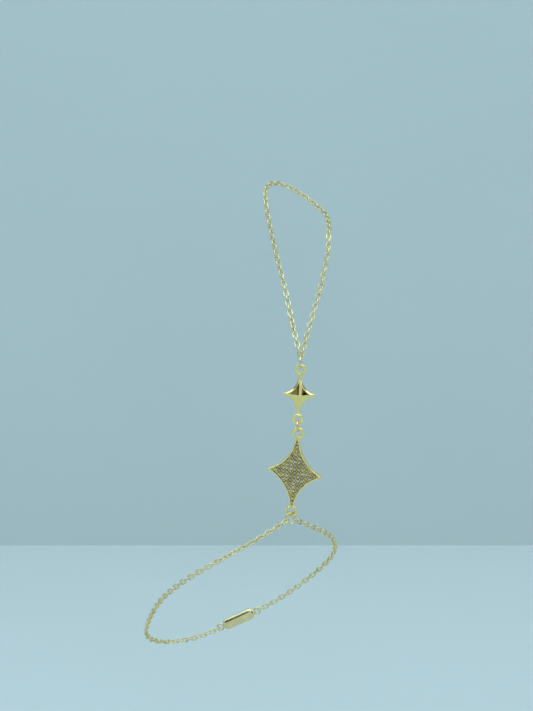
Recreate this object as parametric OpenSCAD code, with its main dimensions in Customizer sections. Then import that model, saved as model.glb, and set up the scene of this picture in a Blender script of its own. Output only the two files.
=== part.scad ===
// Hand chain bracelet: a fine cable chain round the wrist, a large star set with
// small clear stones, a small polished star, and a finger loop of the same chain.
// It stands as it is worn, with the back of the hand towards -Y and the fingers up.

/* [Chain] */
// Diameter of the chain's wire
chain_wire = 0.4; // [0.3:0.05:0.45]
// Length of the hole in a link
link_hole_l = 1.75; // [1.65:0.05:2.2]
// Width of the hole in a link
link_hole_w = 0.9; // [0.85:0.05:1.1]
// Play between two pieces that hook into each other
play = 0.12; // [0.1:0.02:0.16]

/* [Jump rings] */
// Outside diameter of the jump rings that the chains hook into
jump_od = 4.2; // [3.9:0.1:4.8]
// Outside diameter of the jump ring between the stars
middle_od = 3.7; // [3.4:0.1:4.2]
// Diameter of the jump rings' wire
jump_wire = 0.6; // [0.5:0.05:0.65]

/* [Large star] */
// Width of the large star from tip to tip
large_w = 16.3; // [14:0.2:22]
// Height of the large star's body
large_h = 22.4; // [18:0.2:26]
// Thickness of the large star
large_t = 1.2; // [1.1:0.1:2]
// Width of the body where it meets a ring
large_neck = 1.3; // [1:0.1:1.8]
// Depth of the curve of each side
large_curve = 1.9; // [1.2:0.1:2.4]
// Outside diameter of its upper ring
large_top_od = 3.7; // [3.4:0.1:4.4]
// Outside diameter of its lower ring
large_low_od = 3.6; // [3.2:0.1:4.2]

/* [Stone field] */
// Width of the raised rim round the stones
rim_w = 0.45; // [0.35:0.05:0.8]
// Depth of the field below the rim
field_depth = 0.55; // [0.4:0.05:0.7]
// Distance from stone to stone
stone_pitch = 1.18; // [1.16:0.02:1.6]
// Diameter of a stone
stone_d = 1; // [0.8:0.05:1.05]
// Height of a stone
stone_h = 0.5; // [0.35:0.05:0.6]

/* [Small star] */
// Width of the small star from tip to tip
small_w = 9.6; // [8:0.2:14]
// Height of the small star's body
small_h = 12.4; // [10:0.2:16]
// Thickness of its edge
small_edge = 0.6; // [0.5:0.1:1.2]
// Height of its crown above the edge
small_crown = 1; // [0.5:0.1:1.4]
// Width of the body where it meets a ring
small_neck = 1; // [0.8:0.1:1.5]
// Depth of the curve of each side
small_curve = 1.45; // [1.2:0.05:1.9]
// Outside diameter of its rings
small_ring_od = 3.3; // [3.1:0.1:3.8]

/* [Rings cast on the stars] */
// Thickness of a ring that is one with its star
eye_wire = 0.75; // [0.6:0.05:0.85]
// Width of the slit in the large star's lower ring
slit_w = 0.25; // [0.15:0.05:0.4]

/* [Clasp] */
// Length of the clasp between its eyes
clasp_l = 11; // [8:0.5:13]
// Width of the clasp
clasp_w = 3.6; // [3:0.2:5]
// Thickness of the clasp
clasp_t = 1.6; // [1.2:0.1:2.4]

/* [Hidden] */
// Colours of the metal and the stones
gold = "#d9cf86";
clear = "#b9b6a8";

// How each star and jump ring is turned, as [tilt, turn, yaw]
large_turn = [18, 8.9, -13];
small_turn = [12, 3.6, -4];
// Centre of the jump ring at the wrist
wrist_ring_at = [12.4, -17.5, 24.4];
// Directions of the jump rings: along the pull, and to the side
wrist_ring_up = [0.1, -0.2, 1];
wrist_ring_side = [0.79, 0.62, 0];
middle_ring_up = [-0.07, -0.25, 0.97];
middle_ring_side = [0.2, 0.95, 0.2];
top_ring_up = [0.02, 0.05, 1];
top_ring_side = [0.1, 0.99, 0];
// Where the chains hook in, in degrees from the end that is pulled
wrist_left_hook = -70;
wrist_right_hook = 74;
finger_left_hook = -16;
finger_right_hook = 26;
// Roll of the links there
wrist_left_roll = 52;
wrist_right_roll = 88;
finger_left_roll = -10;
finger_right_roll = 190;

// Points of the chains, chosen by hand: x, y, z and the roll of the links
left_route = [
  [7.9, -20.2, 21.8, 20],
  [2.5, -22.8, 18.8, 28],
  [-1.2, -24.4, 16.9, 42],
  [-7.2, -26.3, 13.8, 48],
  [-13.1, -26.4, 10.5, 88],
  [-18.3, -24.4, 7.2, 90],
  [-22.7, -21, 3.6, 90],
  [-26.1, -16.8, 0.1, 90],
  [-28.8, -12, -3.9, 90],
  [-31.2, -6, -8.9, 90],
  [-32.3, 0, -13.6, 90],
  [-30.8, 6, -16.8, 90],
  [-26.3, 11.4, -18.4, 90],
  [-19.4, 15, -18.2, 90],
  [-13.2, 17.1, -16.5, 90]
];
right_route = [
  [15, -15.2, 23.1, 88],
  [19, -11.4, 21.1, 90],
  [22.9, -6.3, 18.9, 90],
  [25.6, -0.9, 16.2, 90],
  [26.8, 4.5, 12.6, 90],
  [25.4, 9.2, 8.6, 90],
  [21.2, 13.2, 3.8, 90],
  [14.6, 15.8, -1.8, 90],
  [7.2, 17.3, -6.8, 90]
];
clasp_at = [-3.8, 17.7, -12.2];
// The finger loop's points start at the top jump ring's centre
finger_route = [
  [-0.7, -0.1, 3.8, 0],
  [-1.5, 1.9, 7.6, 0],
  [-3, 6, 14.6, 70],
  [-4.8, 9.8, 23.3, 92],
  [-6.4, 11.6, 29.7, 128],
  [-7.9, 12.7, 36.1, 135],
  [-9.2, 13.8, 42.4, 135],
  [-10.2, 15.2, 48.6, 135],
  [-9.9, 18.5, 52.8, 137],
  [-7.7, 22.8, 54.7, 142],
  [-3.7, 26, 54.3, 147],
  [0.6, 27.1, 52, 154],
  [4.6, 25.9, 49, 160],
  [7.4, 23, 46.1, 166],
  [8.6, 19.4, 43.8, 172],
  [8.8, 15.6, 41.2, 180],
  [8.7, 12.8, 38.4, 180],
  [8.3, 10.6, 32.4, 180],
  [7, 9.1, 26.1, 180],
  [5.5, 7.5, 19.9, 180],
  [3.7, 5.6, 13.9, 180],
  [2, 3.4, 7.9, 180],
  [0.9, 1.9, 4, 180]
];
// A point behind the chains, which a link of no roll turns its back to
behind = [5, 80];

function unit(v) = v / norm(v);
function xyz(p) = [p[0], p[1], p[2]];

// Rotation in the order tilt, turn, yaw, as three columns
function turned(a, v) =
  let (p = [v[0], v[1]*cos(a[0]) - v[2]*sin(a[0]), v[1]*sin(a[0]) + v[2]*cos(a[0])])
  let (q = [p[0]*cos(a[1]) + p[2]*sin(a[1]), p[1], p[2]*cos(a[1]) - p[0]*sin(a[1])])
  [q[0]*cos(a[2]) - q[1]*sin(a[2]), q[0]*sin(a[2]) + q[1]*cos(a[2]), q[2]];

// Where the rings and stars hang, each from the one below it
jump_r = (jump_od - jump_wire)/2;
middle_r = (middle_od - jump_wire)/2;
large_low_r = (large_low_od - eye_wire)/2;
large_top_r = (large_top_od - eye_wire)/2;
small_r = (small_ring_od - eye_wire)/2;
hook = (jump_wire + eye_wire)/2 + play;
// What the hook loses where two rings cross at a slant
slant = 0.19;
lean = 0.05;
large_up = turned(large_turn, [0, 0, 1]);
small_up = turned(small_turn, [0, 0, 1]);
large_low_at = wrist_ring_at + jump_r*unit(wrist_ring_up) + (large_low_r - hook - slant)*large_up;
large_at = large_low_at + (large_h/2 + large_low_r)*large_up;
large_top_at = large_at + (large_h/2 + large_top_r)*large_up;
middle_ring_at = large_top_at + (large_top_r - hook)*large_up + middle_r*unit(middle_ring_up);
small_low_at = middle_ring_at + middle_r*unit(middle_ring_up) + (small_r - hook)*small_up;
small_at = small_low_at + (small_h/2 + small_r)*small_up;
small_top_at = small_at + (small_h/2 + small_r)*small_up;
top_ring_at = small_top_at + (small_r - hook - lean)*small_up + jump_r*unit(top_ring_up);

// A smooth path through the points, and its tables of length against x, y, z and roll
function between(a, b, c, d, t) =
  b + (c - a)*t/2 + (a - 2.5*b + 2*c - d/2)*t*t + (1.5*(b - c) + (d - a)/2)*t*t*t;
function smooth(p, k = 10) =
  let (last = len(p) - 1)
  [for (i = [0:last - 1], j = [0:k - (i < last - 1 ? 1 : 0)])
    between(p[max(i - 1, 0)], p[i], p[i + 1], p[min(i + 2, last)], j/k)];
function lengths(p) =
  [for (i = 0, s = 0; i < len(p); i = i + 1, s = i < len(p) ? s + norm(xyz(p[i]) - xyz(p[i - 1])) : s) s];
function tables(p) = let (s = lengths(p)) [for (c = [0:3]) [for (i = [0:len(p) - 1]) [s[i], p[i][c]]]];
function at(tab, s) = [for (t = tab) lookup(s, t)];

// A ring of round wire in the plane of two directions
module ring(centre, up, side, r, wire) {
  z = unit(up);
  y = unit(cross(z, side));
  x = cross(y, z);
  multmatrix([for (i = [0:2]) [x[i], z[i], -y[i], centre[i]]])
    rotate_extrude($fn = 64) translate([r, 0]) circle(d = wire, $fn = 24);
}
function on_ring(centre, up, side, a) =
  let (z = unit(up), y = unit(cross(z, side)))
  centre + jump_r*(cos(a)*z + sin(a)*cross(y, z));

// One oval link, its length along X and its face towards Z
module link() {
  r = (link_hole_w + chain_wire)/2;
  straight = link_hole_l - link_hole_w;
  for (s = [0, 1]) rotate([0, 0, 180*s]) {
    translate([straight/2, 0, 0]) rotate([0, 0, -90])
      rotate_extrude(angle = 180, $fn = 32) translate([r, 0]) circle(d = chain_wire, $fn = 16);
    translate([-straight/2, r, 0]) rotate([0, 90, 0]) cylinder(d = chain_wire, h = straight, $fn = 16);
  }
}

// A chain along the points, hooked on a wire at each end. An odd number of links
// fills it, so that both end links face the same way. The end links have more play.
end_play = 1.4*play;
function reach(grip) = (link_hole_l - grip)/2 - end_play;
module chain(points, first_grip, last_grip) {
  tab = tables(smooth(points));
  whole = max([for (row = tab[0]) row[0]]);
  run = whole - reach(first_grip) - reach(last_grip);
  steps = 2*ceil(run/(link_hole_l - play)/2);
  pitch = run/steps;
  for (i = [0:steps]) {
    s = reach(first_grip) + i*pitch;
    p = at(tab, s);
    x = unit(xyz(at(tab, s + pitch/2)) - xyz(at(tab, s - pitch/2)));
    out = [p[0] - behind[0], p[1] - behind[1], 0];
    n = unit(out - (out*x)*x);
    roll = p[3] + 90*(i % 2);
    z = n*cos(roll) + cross(x, n)*sin(roll);
    y = cross(z, x);
    multmatrix([for (k = [0:2]) [x[k], y[k], z[k], p[k]]]) link();
  }
}

// Centre and radius of the arc between two points whose curve has a given depth
function arc_r(a, b, depth) = norm(b - a)*norm(b - a)/8/depth + depth/2;
function arc_at(a, b, depth) =
  let (across = unit([a[1] - b[1], b[0] - a[0]]))
  (a + b)/2 + across*(arc_r(a, b, depth) - depth);

// The side of a star runs from its neck to its tip
tip_w = 0.35;
function neck_point(h, neck) = [neck/2, h/2];
function tip_point(w) = [w/2, tip_w/2];

// An inset is deeper at the tips and the necks than along the sides
tip_inset = 1.5;
neck_inset = 3;
module star_plan(w, h, neck, curve, inset) {
  a = neck_point(h, neck);
  b = tip_point(w);
  centre = arc_at(a, b, curve);
  x = w/2 - tip_inset*inset;
  y = h/2 - neck_inset*inset;
  difference() {
    polygon([[-neck/2, y], [neck/2, y], [x, tip_w/2], [x, -tip_w/2],
      [neck/2, -y], [-neck/2, -y], [-x, -tip_w/2], [-x, tip_w/2]]);
    for (sx = [-1, 1], sy = [-1, 1])
      translate([sx*centre[0], sy*centre[1]]) circle(r = arc_r(a, b, curve) + inset, $fn = 180);
  }
}

// A ring that is one with a star, lying in the star's plan
module eye(v, od) {
  translate([0, v, 0]) rotate_extrude($fn = 64)
    translate([(od - eye_wire)/2, 0]) circle(d = eye_wire, $fn = 24);
}

// Stands a plan up: its Y becomes the star's height and its Z looks out to -Y
module stand(centre, turn) {
  translate(centre) rotate(turn) rotate([90, 0, 0]) children();
}

// The slit looks up and to the left
slit_turn = 148;
module large_star() {
  color(gold) stand(large_at, large_turn) difference() {
    union() {
      translate([0, 0, -large_t/2]) linear_extrude(large_t)
        star_plan(large_w, large_h, large_neck, large_curve, 0);
      eye(large_h/2 + large_top_r, large_top_od);
      eye(-large_h/2 - large_low_r, large_low_od);
    }
    translate([0, 0, large_t/2 - field_depth]) linear_extrude(large_t)
      star_plan(large_w, large_h, large_neck, large_curve, rim_w);
    translate([0, -large_h/2 - large_low_r, 0]) rotate([0, 0, slit_turn])
      translate([large_low_od/4, 0, 0]) cube([large_low_od, slit_w, 2*eye_wire], center = true);
  }
}

// A cut stone as rings of corners: table, girdle and the flat below
facets = 8;
table_share = 0.55;
foot_share = 0.3;
stone_crown = 0.35;
function stone_ring(u, v, z, r) =
  [for (i = [0:facets - 1]) let (a = 360*(i + 0.5)/facets) [u + r*cos(a), v + r*sin(a), z]];
function stone_corners(u, v, top) = concat(
  stone_ring(u, v, top, table_share*stone_d/2),
  stone_ring(u, v, top - stone_crown*stone_h, stone_d/2),
  stone_ring(u, v, top - stone_h, foot_share*stone_d/2));
function stone_faces(k) = concat(
  [[for (i = [facets - 1:-1:0]) k + i]],
  [for (ring = [0, 1], i = [0:facets - 1]) let (j = (i + 1) % facets, o = k + ring*facets)
    [o + i, o + j, o + j + facets, o + i + facets]],
  [[for (i = [0:facets - 1]) k + 2*facets + i]]);

// Places of the stones: a square grid, kept where a stone clears the rim
side_at = arc_at(neck_point(large_h, large_neck), tip_point(large_w), large_curve);
side_r = arc_r(neck_point(large_h, large_neck), tip_point(large_w), large_curve);
function fits(u, v) =
  norm([side_at[0] - abs(u), side_at[1] - abs(v)]) > side_r + rim_w + stone_d/2 + play
  && abs(u) < large_w/2 - tip_inset*rim_w - stone_d/2 && abs(v) < large_h/2 - neck_inset*rim_w - stone_d/2;
reach_u = floor(large_w/2/stone_pitch);
reach_v = floor(large_h/2/stone_pitch);
stones = [for (j = [-reach_v:reach_v], i = [-reach_u:reach_u])
  if (fits(i*stone_pitch, j*stone_pitch)) [i*stone_pitch, j*stone_pitch]];

module pave_stones() {
  top = large_t/2 - field_depth + play + stone_h;
  corners = [for (s = stones) each stone_corners(s[0], s[1], top)];
  faces = [for (n = [0:len(stones) - 1]) each stone_faces(n*3*facets)];
  color(clear) stand(large_at, large_turn) polyhedron(corners, faces);
}

// The small star is a plate with a crown of four flat slopes, which meet in a ridge
// along each arm. Two roofs that cross each other cut the slopes.
// Share of the arms that the ridges run along
crown_share = 0.92;
module roof(turn) {
  a = crown_share*small_w/2;
  b = crown_share*small_h/2;
  half = a*b/norm([a, b]);
  low = small_edge/2;
  far = small_h;
  rotate([0, 0, turn*atan2(a, b)]) rotate([90, 0, 0]) translate([0, 0, -far]) linear_extrude(2*far)
    polygon([[-far, -low], [far, -low], [far, low], [half, low],
      [0, low + small_crown], [-half, low], [-far, low]]);
}

module small_star() {
  color(gold) stand(small_at, small_turn) union() {
    intersection() {
      translate([0, 0, -small_edge]) linear_extrude(2*small_edge + small_crown)
        star_plan(small_w, small_h, small_neck, small_curve, 0);
      roof(1);
      roof(-1);
    }
    eye(small_h/2 + small_r, small_ring_od);
    eye(-small_h/2 - small_r, small_ring_od);
  }
}

module top_jump_ring() {
  color(gold) ring(top_ring_at, top_ring_up, top_ring_side, jump_r, jump_wire);
}
module middle_jump_ring() {
  color(gold) ring(middle_ring_at, middle_ring_up, middle_ring_side, middle_r, jump_wire);
}
module wrist_jump_ring() {
  color(gold) ring(wrist_ring_at, wrist_ring_up, wrist_ring_side, jump_r, jump_wire);
}

// The clasp lies along the chain, flat against the wrist, with an eye at each end
clasp_eye_od = 2.6;
clasp_eye_wire = 0.6;
clasp_eye_r = (clasp_eye_od - clasp_eye_wire)/2;
clasp_x = unit(xyz(left_route[len(left_route) - 1]) - xyz(right_route[len(right_route) - 1]));
clasp_z = unit([0, 1, 0] - clasp_x[1]*clasp_x);
clasp_y = cross(clasp_z, clasp_x);
function clasp_end(s) = clasp_at + s*(clasp_l/2 + 2*clasp_eye_r)*clasp_x;

module clasp() {
  color(gold) multmatrix([for (k = [0:2]) [clasp_x[k], clasp_y[k], clasp_z[k], clasp_at[k]]]) union() {
    translate([0, 0, -clasp_t/2]) linear_extrude(clasp_t) union() {
      square([clasp_l - clasp_w, clasp_w], center = true);
      for (s = [-1, 1]) translate([s*(clasp_l - clasp_w)/2, 0]) circle(d = clasp_w, $fn = 64);
    }
    for (s = [-1, 1]) translate([s*(clasp_l/2 + clasp_eye_r), 0, 0])
      rotate_extrude($fn = 48) translate([clasp_eye_r, 0]) circle(d = clasp_eye_wire, $fn = 24);
  }
}

function with_ends(first, first_roll, points, last, last_roll) =
  concat([concat(first, [first_roll])], points, [concat(last, [last_roll])]);

module wrist_chain_left() {
  start = on_ring(wrist_ring_at, -wrist_ring_up, wrist_ring_side, wrist_left_hook);
  points = with_ends(start, wrist_left_roll, left_route, clasp_end(1), 90);
  color(gold) chain(points, jump_wire, clasp_eye_wire);
}
module wrist_chain_right() {
  start = on_ring(wrist_ring_at, -wrist_ring_up, wrist_ring_side, wrist_right_hook);
  points = with_ends(start, wrist_right_roll, right_route, clasp_end(-1), 90);
  color(gold) chain(points, jump_wire, clasp_eye_wire);
}
module finger_chain() {
  start = on_ring(top_ring_at, top_ring_up, top_ring_side, finger_left_hook);
  end = on_ring(top_ring_at, top_ring_up, top_ring_side, finger_right_hook);
  moved = [for (p = finger_route) concat(top_ring_at + xyz(p), [p[3]])];
  points = with_ends(start, finger_left_roll, moved, end, finger_right_roll);
  color(gold) chain(points, jump_wire, jump_wire);
}

finger_chain();
top_jump_ring();
small_star();
middle_jump_ring();
large_star();
pave_stones();
wrist_jump_ring();
wrist_chain_left();
wrist_chain_right();
clasp();
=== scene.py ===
# %% [markdown]
# # A hand chain bracelet in gilt metal and small clear stones
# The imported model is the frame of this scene. It gives the place of every piece: a wrist
# loop and a finger loop of fine cable chain, a large star with a field of stones, a small
# polished star, three jump rings and a clasp. The cells below make each piece again as a
# smooth surface, worked out with numpy from a formula, and give it its finish.

# %% Load the frame
import bpy
import numpy as np
from mathutils import Matrix


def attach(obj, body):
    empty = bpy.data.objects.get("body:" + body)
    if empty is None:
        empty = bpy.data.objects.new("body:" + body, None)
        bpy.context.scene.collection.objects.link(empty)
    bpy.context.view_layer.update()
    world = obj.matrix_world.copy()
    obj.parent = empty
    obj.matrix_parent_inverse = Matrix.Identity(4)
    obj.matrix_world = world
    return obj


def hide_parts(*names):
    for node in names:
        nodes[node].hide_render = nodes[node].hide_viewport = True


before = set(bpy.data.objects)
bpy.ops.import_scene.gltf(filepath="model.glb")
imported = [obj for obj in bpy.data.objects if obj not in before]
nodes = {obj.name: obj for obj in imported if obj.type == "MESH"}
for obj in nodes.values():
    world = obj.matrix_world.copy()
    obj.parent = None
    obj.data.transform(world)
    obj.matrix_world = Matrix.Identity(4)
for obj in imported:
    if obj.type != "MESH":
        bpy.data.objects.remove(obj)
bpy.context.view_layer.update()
mm = 0.001

# %% [markdown]
# ## The camera
# The photograph was taken level, from about 450 mm. The focal length follows from the
# size of a pixel at the bracelet, 0.312 mm, on a picture 711 pixels high, whose height
# takes the whole 36 mm of the sensor.

# %% Camera
camera_data = bpy.data.cameras.new("camera")
camera = bpy.data.objects.new("camera", camera_data)
bpy.context.scene.collection.objects.link(camera)
distance, pixel, picture_height, sensor = 450*mm, 0.312*mm, 711, 36
camera_data.sensor_width = sensor
camera_data.lens = sensor*distance/pixel/picture_height
camera_data.clip_start, camera_data.clip_end = 0.01, 20
camera.location = (5.15*mm, -distance, 73.16*mm)
camera.rotation_euler = (np.pi/2, 0, 0)
bpy.context.scene.camera = camera
bpy.context.scene.view_settings.view_transform = "Standard"
print("lens in mm:", round(camera_data.lens, 2))

# %% [markdown]
# ## Meshes from grids of points
# Nearly every piece here is a sheet of points with rows and columns: along the wire and
# round it, or across a star's rim and along its outline. One helper numbers the cells of
# such a grid, and another turns points and faces into a mesh whose faces look outwards.

# %% Grid helpers
def cells(rows, cols, loop_rows=False, loop_cols=True):
    """Corner numbers of the cells of a grid. A cell joins (i, j), (i, j+1), (i+1, j+1)
    and (i+1, j), and the last row or column may close onto the first."""
    i = np.arange(rows if loop_rows else rows - 1)[:, None]
    j = np.arange(cols if loop_cols else cols - 1)[None, :]
    down, right = (i + 1) % rows, (j + 1) % cols
    corners = [i*cols + j, i*cols + right, down*cols + right, down*cols + j]
    return np.stack(corners, axis=-1).reshape(-1, 4)


def fan(centre, ring):
    """Triangles from one corner to a closed ring of corners."""
    return np.stack([np.full(len(ring), centre), ring, np.roll(ring, -1)], axis=1)


def closed(rings, poles):
    """Points and faces of a stack of closed rings whose two ends are drawn together to a
    pole each."""
    rows, cols = rings.shape[:2]
    first, last = np.arange(cols), np.arange(cols) + (rows - 1)*cols
    ends = [fan(rows*cols, first)[:, ::-1], fan(rows*cols + 1, last)]
    return np.concatenate([rings.reshape(-1, 3), poles]), [cells(rows, cols), *ends]


def volume(points, faces):
    """Signed volume: each face adds a sixth of the box product of its triangles' corners."""
    total = 0.0
    for group in faces:
        p = points[group]
        for k in range(1, group.shape[1] - 1):
            total += np.einsum("ij,ij->", p[:, 0], np.cross(p[:, k], p[:, k + 1]))/6
    return total


# %% Mesh helpers
def make(name, points, faces, smooth=True):
    """A mesh object from points in metres and a list of face arrays. Where the volume
    comes out negative the faces look inwards, and each one's corners are turned round."""
    points = np.asarray(points, float).reshape(-1, 3)
    if volume(points, faces) < 0:
        faces = [group[:, ::-1] for group in faces]
    mesh = bpy.data.meshes.new(name)
    mesh.from_pydata(points.tolist(), [], [f for group in faces for f in group.tolist()])
    mesh.polygons.foreach_set("use_smooth", np.full(len(mesh.polygons), smooth))
    mesh.update()
    piece = bpy.data.objects.new(name, mesh)
    bpy.context.scene.collection.objects.link(piece)
    print(name, len(mesh.vertices), "points,", len(mesh.polygons), "faces,",
          round(abs(volume(points, faces))/mm**3, 2), "mm3")
    return piece


def joined(parts):
    """Points and faces of several shapes as one: each shape's corner numbers move up by
    the number of points before it."""
    points, faces, count = [], [], 0
    for part_points, part_faces in parts:
        part_points = np.asarray(part_points).reshape(-1, 3)
        points.append(part_points)
        faces += [group + count for group in part_faces]
        count += len(part_points)
    return np.concatenate(points), faces


def repeated(points, faces, centres, axes):
    """The same shape at many places: point = centre + x*axis x + y*axis y + z*axis z,
    worked out for all places at once."""
    placed = centres[:, None, :] + np.einsum("pk,nck->npc", points, axes)
    step = np.arange(len(centres))[:, None, None]*len(points)
    numbered = [(group[None] + step).reshape(-1, group.shape[1]) for group in faces]
    return placed.reshape(-1, 3), numbered

# %% [markdown]
# ## Where every link and stone lies
# The frame's nodes hold their small solids as one cloud of triangles. Corners in the same
# place belong together, so the solids can be told apart by letting every triangle share
# the lowest number among its corners until nothing changes. The spread of each solid then
# gives its own axes: a link is longest along the chain and thinnest through its face.

# %% Find the solids in a node
def solids(name):
    """Centre and axes of each loose solid of a node, weighted by the area of its
    triangles. The axes are the eigenvectors of the spread, longest first."""
    mesh = nodes[name].data
    corners = np.empty(3*len(mesh.vertices))
    mesh.vertices.foreach_get("co", corners)
    loops = np.empty(len(mesh.loops), np.int32)
    mesh.loops.foreach_get("vertex_index", loops)
    places, same = np.unique(np.round(corners.reshape(-1, 3), 7), axis=0, return_inverse=True)
    tri = same.ravel()[loops].reshape(-1, 3)
    label = np.arange(len(places))
    while True:
        lower = label.copy()
        np.minimum.at(lower, tri.ravel(), np.repeat(label[tri].min(axis=1), 3))
        lower = lower[lower]
        if (lower == label).all():
            break
        label = lower
    which = np.unique(label[tri[:, 0]], return_inverse=True)[1].ravel()
    p = places[tri]
    area = np.linalg.norm(np.cross(p[:, 1] - p[:, 0], p[:, 2] - p[:, 0]), axis=1)/2
    middle = p.mean(axis=1)
    total = np.bincount(which, area)
    centre = np.stack([np.bincount(which, area*middle[:, k])/total for k in range(3)], axis=1)
    off = middle - centre[which]
    spread = np.stack([[np.bincount(which, area*off[:, a]*off[:, b]) for b in range(3)]
                       for a in range(3)]).transpose(2, 0, 1)
    axes = np.linalg.eigh(spread)[1][:, :, ::-1]
    axes[:, :, 2] = np.cross(axes[:, :, 0], axes[:, :, 1])
    print(name, "holds", len(centre), "solids")
    return centre, axes

# %% [markdown]
# ## Gold
# The metal is brass with a thin pale plating. Its colour comes from the reflection, so the
# shader is fully metallic and the room does the rest. A polished casting is never quite
# even: a slow noise, of patches about 2 mm wide, shifts the colour a little, and a fine
# one shifts the gloss and gives the faint ripple that polishing leaves. Both stay in the
# piece's own coordinates. The stars are polished most. The metal under the stones is duller,
# and its colour is painted darker as shade, because little light gets in between them.

# %% Gold materials
def add(tree, kind, **values):
    """A node of that kind, with the values set on its sockets by name."""
    node = tree.nodes.new(kind)
    for socket, value in values.items():
        node.inputs[socket.replace("_", " ")].default_value = value
    return node


def metal(name, light, dark, gloss, dull, ripple):
    """A metal that drifts from its light to its dark colour and from its gloss to its
    dull roughness. ripple is the strength of the fine bumps."""
    material = bpy.data.materials.new(name)
    material.use_nodes = True
    tree = material.node_tree
    shader = tree.nodes["Principled BSDF"]
    shader.inputs["Metallic"].default_value = 1
    place = tree.nodes.new("ShaderNodeTexCoord")
    slow = add(tree, "ShaderNodeTexNoise", Scale=420, Detail=3, Roughness=0.5)
    fine = add(tree, "ShaderNodeTexNoise", Scale=2600, Detail=4, Roughness=0.6)
    tree.links.new(place.outputs["Object"], slow.inputs["Vector"])
    tree.links.new(place.outputs["Object"], fine.inputs["Vector"])
    ramp = tree.nodes.new("ShaderNodeValToRGB")
    ramp.color_ramp.elements[0].position = 0.35
    ramp.color_ramp.elements[0].color = (*dark, 1)
    ramp.color_ramp.elements[1].position = 0.65
    ramp.color_ramp.elements[1].color = (*light, 1)
    tree.links.new(slow.outputs["Fac"], ramp.inputs["Fac"])
    tree.links.new(ramp.outputs["Color"], shader.inputs["Base Color"])
    gloss_range = add(tree, "ShaderNodeMapRange", From_Min=0.3, From_Max=0.7, To_Min=gloss, To_Max=dull)
    tree.links.new(fine.outputs["Fac"], gloss_range.inputs["Value"])
    tree.links.new(gloss_range.outputs["Result"], shader.inputs["Roughness"])
    bump = add(tree, "ShaderNodeBump", Strength=ripple, Distance=0.02*mm)
    tree.links.new(fine.outputs["Fac"], bump.inputs["Height"])
    tree.links.new(bump.outputs["Normal"], shader.inputs["Normal"])
    return material


polished = metal("polished_gold", (1, 0.8, 0.33), (0.95, 0.75, 0.28), 0.05, 0.12, 0.08)
cast = metal("cast_gold", (0.95, 0.78, 0.34), (0.85, 0.67, 0.27), 0.12, 0.25, 0.2)
# The field's darker colours are painted shade, for the little light that gets in between the stones.
field = metal("field_gold_painted_shade", (0.85, 0.69, 0.28), (0.6, 0.47, 0.18), 0.25, 0.4, 0.4)
wire_gold = metal("wire_gold", (0.9, 0.76, 0.42), (0.76, 0.63, 0.33), 0.08, 0.18, 0.12)
print("materials:", polished.name, cast.name, field.name, wire_gold.name)

# %% [markdown]
# ## Stones
# The clear stones are small cut zirconias. Each one bends light strongly, and its lower
# facets throw most of that light back, much as a metal does. The shader is therefore glass
# with a share of metal, which makes each facet a mirror of its own. On gold the stones look
# beige: their beige colour and the gold tint of their highlights are a painted reflection of
# the gold round and under them. A noise about a stone wide varies that colour at random, so
# no two stones are quite the same.

# %% Stone material
stone_glass = bpy.data.materials.new("clear_stone")
stone_glass.use_nodes = True
tree = stone_glass.node_tree
shader = tree.nodes["Principled BSDF"]
shader.inputs["IOR"].default_value = 2.1
shader.inputs["Roughness"].default_value = 0.02
shader.inputs["Transmission Weight"].default_value = 0.8
shader.inputs["Metallic"].default_value = 0.35
# The gold tint of the stones' highlights is a painted reflection of the gold round them.
shader.inputs["Specular Tint"].default_value = (1, 0.88, 0.62, 1)
place = tree.nodes.new("ShaderNodeTexCoord")
# The beige of the stones is a painted reflection of the gold under them, and the noise varies it at
# random from stone to stone.
tint = add(tree, "ShaderNodeTexNoise", Scale=800, Detail=1, Roughness=0.5)
tree.links.new(place.outputs["Object"], tint.inputs["Vector"])
ramp = tree.nodes.new("ShaderNodeValToRGB")
ramp.color_ramp.elements[0].position = 0.38
ramp.color_ramp.elements[0].color = (0.64, 0.5, 0.32, 1)
ramp.color_ramp.elements[1].position = 0.6
ramp.color_ramp.elements[1].color = (1, 0.86, 0.63, 1)
tree.links.new(tint.outputs["Fac"], ramp.inputs["Fac"])
tree.links.new(ramp.outputs["Color"], shader.inputs["Base Color"])
print("stone index of refraction:", round(shader.inputs["IOR"].default_value, 2))

# %% [markdown]
# ## Cable chain
# A cable chain is made of oval links of round wire, each turned a quarter against the
# next. One link is a round section carried along a stadium: two half circles joined by
# two straights. There are almost two hundred of them, so each has only a few dozen faces,
# and smooth shading does the rest. A six-sided wire looks thinner than a round one, so its
# corners stand a little further out. The frame says where each link lies.

# %% One link
def link_shape(hole_l=1.75*mm, hole_w=0.9*mm, wire=0.4*mm, swell=1.12, around=6, bend=7):
    """A wire of that many sides along a stadium. At angle t of a half circle the path is
    (half straight + r cos t, r sin t), and a corner of the section stands off by
    swell*wire/2*(cos s*outwards + sin s*up)."""
    r = (hole_w + wire)/2
    t = np.linspace(-np.pi/2, np.pi/2, bend)
    side = (hole_l - hole_w)/2
    out = np.stack([np.cos(t), np.sin(t), 0*t], axis=1)
    path = np.concatenate([[side, 0, 0] + r*out, [-side, 0, 0] - r*out])
    out = np.concatenate([out, -out])
    s = 2*np.pi*(np.arange(around) + 0.5)/around
    section = np.cos(s)[None, :, None]*out[:, None] + np.sin(s)[None, :, None]*[0, 0, 1]
    points = path[:, None] + swell*wire/2*section
    return points.reshape(-1, 3), [cells(len(path), around, loop_rows=True)]

# %% Dress a piece
def dress(piece, material, slot, *names):
    """Gives a piece its material, lets it ride on the body and puts it in
    place of its nodes of the frame. The slot is not used."""
    piece.data.materials.append(material)
    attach(piece, "root")
    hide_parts(*names)
    return piece

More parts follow.
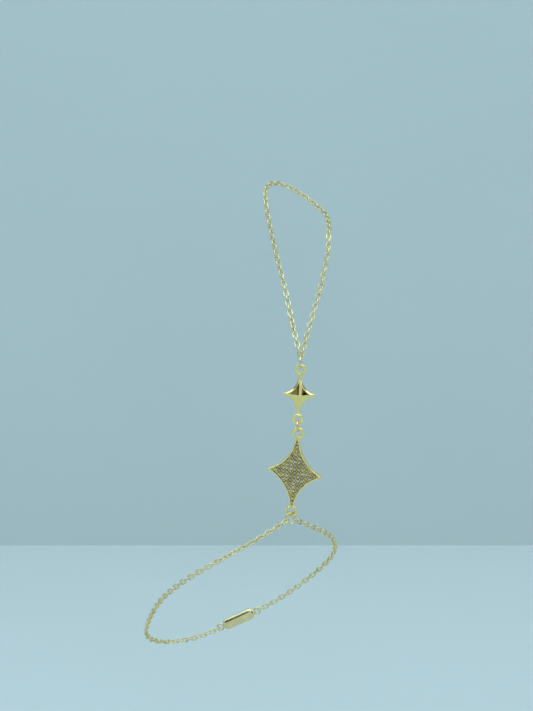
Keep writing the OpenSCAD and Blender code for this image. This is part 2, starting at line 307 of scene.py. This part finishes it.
# %% The three chains
link_points, link_faces = link_shape()
for name in ("finger_chain", "wrist_chain_left", "wrist_chain_right"):
    centre, axes = solids(name)
    links = make(name + "_links", *repeated(link_points, link_faces, centre, axes))
    dress(links, wire_gold, "chain", name)

# %% [markdown]
# ## Rings of round wire
# A jump ring is a piece of wire bent round until its ends meet. It is a torus but for the
# fine joint, where both ends are rounded a little, so the wire gets thinner there over a
# very short stretch. The same shape without a joint makes the rings cast on the stars.

# %% Ring helper
def unit(v):
    """The vector divided by its length."""
    return np.asarray(v, float)/np.linalg.norm(v)


def ring_shape(centre, up, side, r, wire, joint=None, along=96, around=20):
    """A torus: centre + r*(cos a*up + sin a*side) + wire/2*(cos s*outwards + sin s*axis).
    At the joint the wire's radius dips by waist*exp(-(angle/reach)**2) of itself."""
    waist, reach = (0.3, 0.05) if joint is not None else (0, 1)
    up = unit(up)
    axis = unit(np.cross(up, side))
    side = np.cross(axis, up)
    step = np.arange(along)
    a = 2*np.pi*step/along + (joint or 0)
    out = np.cos(a)[:, None]*up + np.sin(a)[:, None]*side
    away = 2*np.pi*np.minimum(step, along - step)/along
    thick = (wire/2*(1 - waist*np.exp(-(away/reach)**2)))[:, None, None]
    s = 2*np.pi*np.arange(around)/around
    points = (np.asarray(centre) + r*out)[:, None] + thick*(
        np.cos(s)[None, :, None]*out[:, None] + np.sin(s)[None, :, None]*axis)
    return points, [cells(along, around, loop_rows=True)]

# %% The three jump rings
jump_wire = 0.6*mm
for name, outside, joint in (("top_jump_ring", 4.2*mm, 60), ("middle_jump_ring", 3.7*mm, 120),
                             ("wrist_jump_ring", 4.2*mm, 200)):
    (centre,), (axes,) = solids(name)
    r = (outside - jump_wire)/2
    shape = ring_shape(centre, axes[:, 0], axes[:, 1], r, jump_wire, joint=np.radians(joint))
    dress(make(name + "_wire", *shape), wire_gold, "jump_rings", name)

# %% [markdown]
# ## The outline of a star
# Both stars have four points and four hollow sides. A side is an arc of a circle from a
# narrow neck above or below to a tip at the left or right. Moving the outline inwards
# makes that circle larger, which gives every line of the rim and the field from one
# formula. The tips end in a small half round. A star is seven numbers: width, height, width
# of the neck, depth of a side's arc, half height of a tip, and how many times the inset a
# tip and a neck's end move in. Those two keep the narrow ends from folding over.

# %% One side of a star
def side_circle(w, h, neck, depth, tip_half):
    """Centre and radius of a side. The arc's chord runs from the neck's corner to the
    tip's, so r = chord*chord/8/depth + depth/2, and the centre lies outside the star."""
    a, b = np.array([neck/2, h/2]), np.array([w/2, tip_half])
    chord = np.linalg.norm(b - a)
    r = chord**2/8/depth + depth/2
    across = np.array([a[1] - b[1], b[0] - a[0]])/chord
    return (a + b)/2 + across*(r - depth), r

# %% Outline of a star
def outline(star, inset, turn=5, arc=36, flat=6):
    """The closed outline moved in by inset, counter-clockwise from the right tip. A
    quarter has a quarter round at the tip, the arc, and half of the neck's end; the
    other quarters mirror it."""
    w, h, tip_inset, neck_inset = star[0], star[1], star[5], star[6]
    centre, r = side_circle(*star[:5])
    r = r + inset
    x_tip, y_neck = w/2 - tip_inset*inset, h/2 - neck_inset*inset
    half = centre[1] - np.sqrt(r**2 - (x_tip - centre[0])**2)
    x_turn = x_tip - half
    y_turn = centre[1] - np.sqrt(r**2 - (x_turn - centre[0])**2)
    x_neck = centre[0] - np.sqrt(r**2 - (y_neck - centre[1])**2)
    phi = np.linspace(0, np.pi/2, turn)[:-1]
    tip = np.stack([x_turn + (x_tip - x_turn)*np.cos(phi), y_turn*np.sin(phi)], axis=1)
    first = np.arctan2(y_turn - centre[1], x_turn - centre[0])
    last = np.arctan2(y_neck - centre[1], x_neck - centre[0])
    t = np.linspace(first, last - 2*np.pi*(last > 0), arc)
    bow = centre + r*np.stack([np.cos(t), np.sin(t)], axis=1)
    end = np.stack([np.linspace(x_neck, 0, flat), np.full(flat, y_neck)], axis=1)[1:]
    quarter = np.concatenate([tip, bow, end])
    return np.concatenate([quarter, quarter[::-1][1:]*[-1, 1], -quarter[1:],
                           quarter[::-1][1:-1]*[1, -1]])

# %% Where a star stands
def plan_frame(name, turn, middle):
    """Where a star's plan lies. Its three directions are the room's, turned about x, y
    and z in that order, with the front to -Y and the height upwards. Its centre is half
    way between the node's ends along each, less the middle of those ends in the plan."""
    tilt, roll, yaw = np.radians(turn)
    turned = (Matrix.Rotation(yaw, 3, "Z") @ Matrix.Rotation(roll, 3, "Y")
              @ Matrix.Rotation(tilt, 3, "X"))
    axes = np.array(turned) @ np.array([[1, 0, 0], [0, 0, -1], [0, 1, 0]])
    corners = np.empty(3*len(nodes[name].data.vertices))
    nodes[name].data.vertices.foreach_get("co", corners)
    along = corners.reshape(-1, 3) @ axes
    centre = axes @ ((along.min(axis=0) + along.max(axis=0))/2 - middle)
    print(name, "centre in mm:", np.round(centre/mm, 2).tolist(), "size in mm:",
          np.round((along.max(axis=0) - along.min(axis=0))/mm, 2).tolist())
    return centre, axes


def stand(points, placed):
    """From plan to place: centre + x*across + y*up + z*front."""
    centre, axes = placed
    return centre + np.asarray(points) @ axes.T

# %% Skin over a star
def quarter_round(x, z, r, first, last, n=5):
    """Points of a rounded corner of a section: (x + r cos a, z + r sin a), in degrees."""
    a = np.radians(np.linspace(first, last, n))
    return np.stack([x + r*np.cos(a), z + r*np.sin(a)], axis=1)


def star_skin(star, section, taper, floor=(0.8, 0.55, 0.3, 0.12)):
    """A closed shell over a star. The section is a list of (inset, z), from the back over
    the edge to the front, and each of its points gives one ring of the outline. Copies of
    the first and the last ring, shrunk to the shares in floor, carry the two faces to
    their middles. Over the last fifth of each half height, z shrinks by the taper."""
    rings = [np.column_stack([outline(star, inset), np.full(len(outline(star, inset)), z)])
             for inset, z in section]
    back = [rings[0]*[k, k, 1] for k in floor[::-1]]
    front = [rings[-1]*[k, k, 1] for k in floor]
    points = np.stack(back + rings + front)
    reach = np.clip((np.abs(points[..., 1])/(star[1]/2) - 0.8)/0.2, 0, 1)
    points[..., 2] *= 1 - taper*reach**2*(3 - 2*reach)
    return closed(points, [[0, 0, section[0][1]], [0, 0, section[-1][1]]])

# %% [markdown]
# ## The large star
# The large star is a shallow tray: a flat back, a polished wall, a bright raised rim and a
# sunk field that holds the stones. Its section is drawn once, with rounded corners, and
# carried round the outline. A closed ring stands on its top, and an open ring with a slit
# hangs below it, so that it can be hooked onto the wrist's jump ring.

# %% Large star
large = (16.3*mm, 22.4*mm, 1.3*mm, 1.9*mm, 0.175*mm, 2.2, 1.2)
large_placed = plan_frame("large_star", (18, 8.9, -13), (0, 0.05*mm, 0))
half, soft, crisp, rim, sunk = 0.6*mm, 0.2*mm, 0.14*mm, 0.45*mm, 0.55*mm
field_z = half - sunk
foot = np.array([[0.02, 0.08], [0.06, 0.02], [0.14, 0]])*mm
section = np.concatenate([
    [[0.55*mm, -half]],
    quarter_round(soft, soft - half, soft, 270, 180),
    quarter_round(soft, half - soft, soft, 180, 90),
    quarter_round(rim - crisp, half - crisp, crisp, 90, 0),
    foot + [rim, field_z]])
body = star_skin(large, section, taper=0.3)
print("half thickness, rim and field depth in mm:", half/mm, rim/mm, sunk/mm)

# %% Rings cast on a star
def cast_ring(y, r, wire=0.83*mm, slit=None, half_gap=0.0):
    """A ring of middle radius r in the plan of a star, centred at (0, y). With a slit, the
    wire starts and ends half_gap away from that angle, and thins over its last 0.16 mm, so
    that its closed ends are round."""
    if slit is None:
        return ring_shape((0, y, 0), (0, 1, 0), (1, 0, 0), r, wire, along=72, around=18)
    ends, thin = np.array([0, 0.04, 0.1])*mm/r, [0.7, 0.86, 0.96]
    run, full = 2*np.pi - 2*half_gap/r, 0.16*mm/r
    a = np.concatenate([ends, np.linspace(full, run - full, 60), run - ends[::-1]]) + half_gap/r + slit
    thick = wire/2*np.concatenate([thin, np.ones(60), thin[::-1]])
    out = np.stack([np.cos(a), np.sin(a), 0*a], axis=1)
    s = 2*np.pi*np.arange(18)/18
    points = np.array([0, y, 0]) + (r*out)[:, None] + thick[:, None, None]*(
        np.cos(s)[None, :, None]*out[:, None] + np.sin(s)[None, :, None]*np.array([0, 0, 1]))
    return closed(points, [points[0].mean(axis=0), points[-1].mean(axis=0)])


upper = cast_ring(large[1]/2 + 1.475*mm, 1.475*mm)
lower = cast_ring(-large[1]/2 - 1.425*mm, 1.425*mm, slit=np.radians(148), half_gap=0.2*mm)

# %% Depth inside the outline
def depth_inside(points, star):
    """How deep points of the plan lie inside the outline: the least of the distances to
    a side's circle, to the tip's line and to the neck's line, measured as insets."""
    side, r = side_circle(*star[:5])
    away = np.linalg.norm(side - np.abs(points), axis=1) - r
    return np.minimum(away, np.minimum((star[0]/2 - np.abs(points[:, 0]))/star[5],
                                       (star[1]/2 - np.abs(points[:, 1]))/star[6]))

# %% Put the large star together
def outwards(points, faces):
    """The same shape with its faces turned round where its volume comes out negative."""
    points = np.asarray(points).reshape(-1, 3)
    return points, faces if volume(points, faces) > 0 else [group[:, ::-1] for group in faces]


points, faces = joined([outwards(*shape) for shape in (body, upper, lower)])
large_star = make("large_star_body", stand(points, large_placed), faces)
dress(large_star, polished, "polished_metal", "large_star")
# The second material is the field's metal, whose darker colour is painted shade.
large_star.data.materials.append(field)
middles = np.empty(3*len(large_star.data.polygons))
large_star.data.polygons.foreach_get("center", middles)
middles = (middles.reshape(-1, 3) - large_placed[0]) @ large_placed[1]
sunk_face = (middles[:, 2] < half - 0.2*mm) & (middles[:, 2] > field_z - 0.1*mm) & (
    depth_inside(middles[:, :2], large) > rim - 0.02*mm)
large_star.data.polygons.foreach_set("material_index", sunk_face.astype(np.int32))
print("faces of the field:", int(sunk_face.sum()))

# %% [markdown]
# ## The field of stones
# The stones stand in a square grid, a little apart. Each is cut with a table, a belt of 24
# facets above its girdle and as many below, and it is shaded flat. Where the field gets
# narrow a place without room for a whole stone has a smaller one, set a little lower.
# Between each four stones stands a bead of metal, raised from the field to hold their edges.

# %% One stone
def stone_shape(d=1*mm, crown=0.17*mm, girdle=0.03*mm, deep=0.28*mm):
    """A round brilliant hanging from its table: rings of 8 corners at the table, 16 at the
    upper and the lower edge of the girdle and 8 at the foot. Corner k of a ring of n lies
    at angle 360*(k + turn)/n."""
    def ring(n, r, z, turn=0.0):
        a = 2*np.pi*(np.arange(n) + turn)/n
        return np.stack([r*np.cos(a), r*np.sin(a), np.full(n, z)], axis=1)
    points = np.concatenate([
        ring(8, 0.28*d, 0), ring(16, 0.5*d, -crown), ring(16, 0.5*d, -crown - girdle),
        ring(8, 0.12*d, -crown - girdle - deep, turn=0.5)])
    k = np.arange(8)
    nxt, up, down, foot = (k + 1) % 8, 8 + 2*k, 24 + 2*k, 40 + k
    up_next, down_next = 8 + (2*k + 2) % 16, 24 + (2*k + 2) % 16
    table, base = np.arange(8)[None, :], 40 + np.arange(8)[None, ::-1]
    triangles = np.concatenate([
        np.stack([nxt, k, up + 1], 1), np.stack([k, up, up + 1], 1), np.stack([nxt, up + 1, up_next], 1),
        np.stack([foot, down + 1, down], 1), np.stack([foot, down_next, down + 1], 1),
        np.stack([foot, 40 + nxt, down_next], 1)])
    j = np.arange(16)
    girdle_faces = np.stack([8 + j, 24 + j, 24 + (j + 1) % 16, 8 + (j + 1) % 16], 1)
    return points, [table, base, triangles, girdle_faces]

# %% The stones in their places
grid, whole, least, off_rim = 1.18*mm, 1*mm, 0.48*mm, 0.05*mm
steps = np.arange(-9, 10)*grid
spots = np.stack(np.meshgrid(steps, steps), axis=-1).reshape(-1, 2)
width = 2*(depth_inside(spots, large) - rim - off_rim)
spots, width = spots[width > least], np.minimum(width[width > least], whole)
heights = field_z + 0.62*mm - 0.1*mm*(width < 0.8*whole)
sizes = (width/whole)[:, None, None]*np.eye(3)
points, faces = repeated(*stone_shape(whole), np.column_stack([spots, heights]), sizes)
stones = make("cut_stones", stand(points, large_placed), faces, smooth=False)
dress(stones, stone_glass, "stones", "pave_stones")

in_plan = ((solids("pave_stones")[0] - large_placed[0]) @ large_placed[1])[:, :2]
away = np.linalg.norm(in_plan[:, None] - spots[None], axis=-1).min(axis=1).max()
print("stones in the frame:", len(in_plan), "in the scene:", len(spots),
      "furthest from its place in mm:", round(float(away)/mm, 3))

# %% One bead
def bead_shape(r=0.22*mm, z=field_z, tall=0.55*mm, head=0.12*mm, around=10, up=4):
    """A post with a low round head: r*cos b across and z + tall - head + head*sin b high,
    with one more ring at the foot."""
    b = np.linspace(0, np.pi/2, up)[:-1]
    across = np.concatenate([[1.1*r], r*np.cos(b)])
    high = np.concatenate([[z], z + tall - head + head*np.sin(b)])
    a = 2*np.pi*(np.arange(around) + 0.5)/around
    rings = np.stack([across[:, None]*np.cos(a), across[:, None]*np.sin(a), high[:, None] + 0*a], axis=-1)
    return closed(rings, [[0, 0, z], [0, 0, z + tall]])

# %% Beads between the stones
steps = (np.arange(-10, 11) + 0.5)*grid
spots = np.stack(np.meshgrid(steps, steps), axis=-1).reshape(-1, 2)
spots = spots[depth_inside(spots, large) > rim + 0.12*mm]
places = np.column_stack([spots, np.zeros(len(spots))])
points, faces = repeated(*bead_shape(), places, np.tile(np.eye(3), (len(spots), 1, 1)))
beads = make("beads", stand(points, large_placed), faces)
dress(beads, cast, "polished_metal", "large_star")
print("beads:", len(spots))

# %% [markdown]
# ## The small star
# The small star is a polished pyramid on a star's plan: a ridge runs along each arm, and
# between the ridges lie four slopes, each a little hollow. With share = 1 - |x|/a - |y|/b
# the height is edge + crown*share**1.35. The upright ridge is flat and a little to the
# right, and the level one is nearly sharp. A narrow round margin lowers the slopes towards
# the edge, and the back's edge is rounded too.

# %% Small star
small = (9.6*mm, 12.4*mm, 1*mm, 1.45*mm, 0.26*mm, 2.5, 3)
small_placed = plan_frame("small_star", (12, 3.6, -4), (0, 0, 0.4625*mm))
edge, crown, margin, hollow, spread = 0.3*mm, 1.1*mm, 0.5*mm, 1.35, 0.46
ridge_x, ridge_flat, ridge_soft, level_soft = 0.18*mm, 0.22*mm, 0.42*mm, 0.1*mm


def rounded(v, flat, soft):
    """|v| with a flat middle and a soft bend: sqrt(max(|v| - flat, 0)**2 + soft**2) - soft."""
    return np.sqrt(np.clip(np.abs(v) - flat, 0, None)**2 + soft**2) - soft


def slope(x, y):
    """Height of the slopes above the plan: edge + crown*share**hollow, where the share is
    1 - rounded |x|/(spread*width) - rounded |y|/(spread*height)."""
    share = (1 - rounded(x - ridge_x, ridge_flat, ridge_soft)/(spread*small[0])
             - rounded(y, 0, level_soft)/(spread*small[1]))
    return edge + crown*np.clip(share, 0, 1)**hollow

# %% Body of the small star
def small_body():
    """Rings of the outline from the back over the edge to the end of the margin, then
    shrunk copies of the last one up to the middle, each lifted onto the slopes. On the
    margin a ring takes only a part of the slope's height."""
    back = [(0.45*mm, -1), (0.25*mm, -0.95), (0.1*mm, -0.65), (0.03*mm, -0.3), (0, 0)]
    front = [(0.05, 0.25), (0.2, 0.45), (0.55, 0.72), (0.85, 0.95), (1, 1)]
    rings = []
    for inset, z in back:
        flat = outline(small, inset)
        rings.append(np.column_stack([flat, np.full(len(flat), z*edge)]))
    for inset, part in front:
        flat = outline(small, margin*inset)
        rings.append(np.column_stack([flat, part*slope(*flat.T)]))
    rings += [np.column_stack([k*flat, slope(*(k*flat).T)]) for k in np.linspace(0.95, 0.05, 19)]
    middle = [rings[0]*[k, k, 1] for k in (0.24, 0.6)]
    return closed(np.stack(middle + rings), [[0, 0, -edge], [0, 0, slope(0, 0)]])


top_ring = cast_ring(small[1]/2 + 1.275*mm, 1.275*mm)
low_ring = cast_ring(-small[1]/2 - 1.275*mm, 1.275*mm)
points, faces = joined([outwards(*shape) for shape in (small_body(), top_ring, low_ring)])
small_star = make("small_star_body", stand(points, small_placed), faces)
dress(small_star, polished, "polished_metal", "small_star")

# %% [markdown]
# ## The clasp
# The clasp lies behind the wrist, where the photograph doesn't show it. It is one plain
# piece: a long drop with rounded edges and a small ring at each end.

# %% Clasp
def clasp_body(length=11*mm, width=3.6*mm, thick=1.6*mm, rows=24, around=20):
    """Rings across the length. At u along it the half width is that of a stadium, the half
    thickness falls by 0.6 towards the ends, and the section is a superellipse of power
    2.6: (half width*|cos s|**(2/2.6), half thickness*|sin s|**(2/2.6)), with their signs."""
    u = np.sin(np.linspace(-np.pi/2, np.pi/2, rows))[1:-1]*length/2
    straight = (length - width)/2
    over = np.clip(np.abs(u) - straight, 0, None)
    half_width = np.sqrt(np.clip((width/2)**2 - over**2, 0, None))
    half_thick = thick/2*(1 - (over/(width/2))**4*0.6)
    s = 2*np.pi*np.arange(around)/around
    across, high = (np.sign(v)*np.abs(v)**(2/2.6) for v in (np.cos(s), np.sin(s)))
    rings = np.stack([u[:, None] + 0*s, half_width[:, None]*across, half_thick[:, None]*high], axis=-1)
    return closed(rings, [[-length/2, 0, 0], [length/2, 0, 0]])


eyes = [ring_shape((x, 0, 0), (1, 0, 0), (0, 1, 0), 1*mm, 0.6*mm, along=48, around=12)
        for x in (-6.5*mm, 6.5*mm)]
points, faces = joined([outwards(*shape) for shape in (clasp_body(), *eyes)])
(centre,), (axes,) = solids("clasp")
clasp = make("clasp_drop", stand(points, (centre, axes)), faces)
dress(clasp, wire_gold, "polished_metal", "clasp")

# %% [markdown]
# ## The room
# The floor is plain and pale, and a plain wall stands behind it, far enough away for the
# line where they meet to cross the picture low down. Both are a soft grey, and they are
# the stage and no part of the bracelet. The unevenness of a matt surface is slow and faint.

# %% Floor and wall
def plain(name, colour):
    """A matt material of one colour with a faint, slow unevenness."""
    material = bpy.data.materials.new(name)
    material.use_nodes = True
    tree = material.node_tree
    shader = tree.nodes["Principled BSDF"]
    shader.inputs["Roughness"].default_value = 0.6
    place = tree.nodes.new("ShaderNodeTexCoord")
    cloud = add(tree, "ShaderNodeTexNoise", Scale=6, Detail=2, Roughness=0.5)
    tree.links.new(place.outputs["Object"], cloud.inputs["Vector"])
    ramp = tree.nodes.new("ShaderNodeValToRGB")
    ramp.color_ramp.elements[0].color = (*[0.95*c for c in colour], 1)
    ramp.color_ramp.elements[1].color = (*colour, 1)
    tree.links.new(cloud.outputs["Fac"], ramp.inputs["Fac"])
    tree.links.new(ramp.outputs["Color"], shader.inputs["Base Color"])
    return material


def sheet(name, corners, material):
    """A flat four-cornered sheet of the stage."""
    mesh = bpy.data.meshes.new(name)
    mesh.from_pydata(corners, [], [(0, 1, 2, 3)])
    mesh.materials.append(material)
    piece = bpy.data.objects.new(name, mesh)
    bpy.context.scene.collection.objects.link(piece)
    return piece


floor_z, wall_y, wall_top, wide = -0.05, 0.486, 3, 6
sheet("floor", [(-wide, -wide, floor_z), (wide, -wide, floor_z), (wide, wall_y, floor_z),
                (-wide, wall_y, floor_z)], plain("floor_grey", (0.65, 0.68, 0.7)))
sheet("wall", [(-wide, wall_y, floor_z), (wide, wall_y, floor_z), (wide, wall_y, wall_top),
               (-wide, wall_y, wall_top)], plain("wall_grey", (0.57, 0.62, 0.63)))
print("floor at", floor_z, "m, wall at", wall_y, "m")

# %% [markdown]
# ## Two dark cards
# A polished slope is a mirror, and what stands in front of it paints it. The upper left
# slope of the small star has a brown band beside its ridge, and the upper right one is
# nearly black. Photographers get such tones with cards held beside the lens, and so does
# this scene. Only reflections see the cards, so they cast no shadow and no tint.

# %% Dark cards
def dark_card(name, left, right, low, high, colour, y=-0.45):
    """An upright card across the room's depth at y, on the camera's side."""
    material = bpy.data.materials.new(name)
    material.use_nodes = True
    shader = material.node_tree.nodes["Principled BSDF"]
    shader.inputs["Base Color"].default_value = (*colour, 1)
    shader.inputs["Roughness"].default_value = 0.9
    shader.inputs["Specular IOR Level"].default_value = 0.1
    card = sheet(name, [(left, y, low), (right, y, low), (right, y, high), (left, y, high)], material)
    card.visible_camera = card.visible_diffuse = card.visible_shadow = False
    print(name, round(1000*(right - left)), "mm wide")


dark_card("card_brown", -0.25, -0.055, 0, 0.17, (0.18, 0.09, 0.04))
dark_card("card_black", 0.18, 0.34, 0.02, 0.17, (0.01, 0.01, 0.01))

# %% [markdown]
# ## Light
# Polished metal shows the room rather than its own colour, so the lights are large and
# soft: a panel overhead, a softbox on each side and one above the camera. A small fill
# beside the lens lights the upright ridge and the middle of each wire. The world round them
# is dim, and the dark between the lights gives the wires and slopes their contrast. All
# lights have the slightly green blue of the photograph.

# %% Lights
def soft_light(name, place, target, width, height, glow):
    """An area light at a place, turned to its target: its three axes are across, up and
    backwards. Its power is glow*pi*area, so the glow is how bright a mirror shows it."""
    data = bpy.data.lights.new(name, "AREA")
    data.shape, data.size, data.size_y = "RECTANGLE", width, height
    data.energy, data.color = glow*np.pi*width*height, (0.76, 1, 1.06)
    light = bpy.data.objects.new(name, data)
    light.visible_camera = False
    bpy.context.scene.collection.objects.link(light)
    light.location = place
    back = unit(np.subtract(place, target))
    right = unit(np.cross([0, 0, 1], back)) if abs(back[2]) < 1 else np.array([1, 0, 0])
    turned = np.column_stack([right, np.cross(back, right), back])
    light.rotation_euler = Matrix(turned.tolist()).to_euler()


middle = (0.01, -0.01, 0.05)
soft_light("overhead", (0, -0.72, 2), (0, -0.72, 0), 5.6, 2.4, 1.1)
soft_light("left_softbox", (-1.5, -0.7, 0.72), middle, 0.9, 1.5, 1.15)
soft_light("right_softbox", (1.5, -0.7, 0.72), middle, 0.9, 1.5, 1.15)
soft_light("front_softbox", (0, -1.5, 1.35), middle, 1.6, 1.6, 0.95)
soft_light("fill", (0.04, -0.5, 0.08), middle, 0.185, 0.2, 0.5)
world = bpy.data.worlds.new("room")
world.use_nodes = True
tree = world.node_tree
tree.nodes["Background"].inputs["Color"].default_value = (0.16, 0.21, 0.23, 1)
bpy.context.scene.world = world
